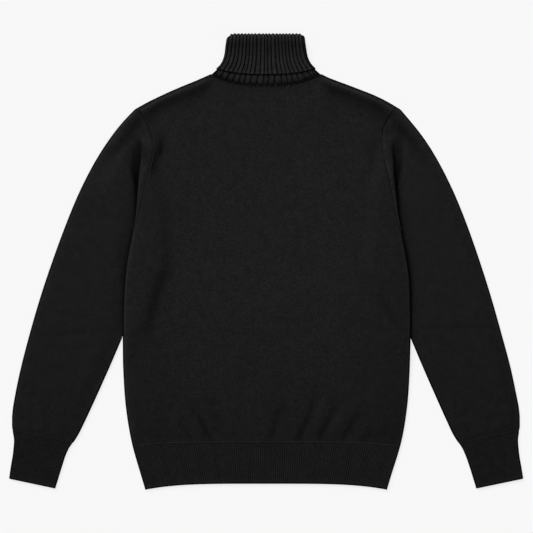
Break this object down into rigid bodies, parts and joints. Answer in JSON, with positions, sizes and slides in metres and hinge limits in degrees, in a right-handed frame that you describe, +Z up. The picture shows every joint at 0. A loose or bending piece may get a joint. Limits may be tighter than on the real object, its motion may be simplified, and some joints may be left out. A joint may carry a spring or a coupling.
{
  "type": "turtleneck sweater",
  "caption": "Long-sleeved knitted sweater with a rib roll neck, rib cuffs and a rib hem, laid flat with its back up and its sleeves beside the body.",
  "frame": {"origin": "on the surface that the sweater lies on, under the middle of its box", "axes": "+X across the sweater towards the sleeve on the right of the view, which is the wearer's right; +Y along the body towards the roll neck; +Z up out of the surface, through the back of the sweater"},
  "size_m": [0.8631, 0.7652, 0.0115],
  "materials": {
    "plain_knit": "matte",
    "rib_knit": "matte"
  },
  "bodies": {
    "root": {"back_panel": "plain_knit", "front_panel": "plain_knit", "sleeve_left": "plain_knit", "sleeve_right": "plain_knit", "cuff_left": "rib_knit", "cuff_right": "rib_knit", "hem_back": "rib_knit", "hem_front": "rib_knit", "collar": "rib_knit"}
  },
  "joints": []
}
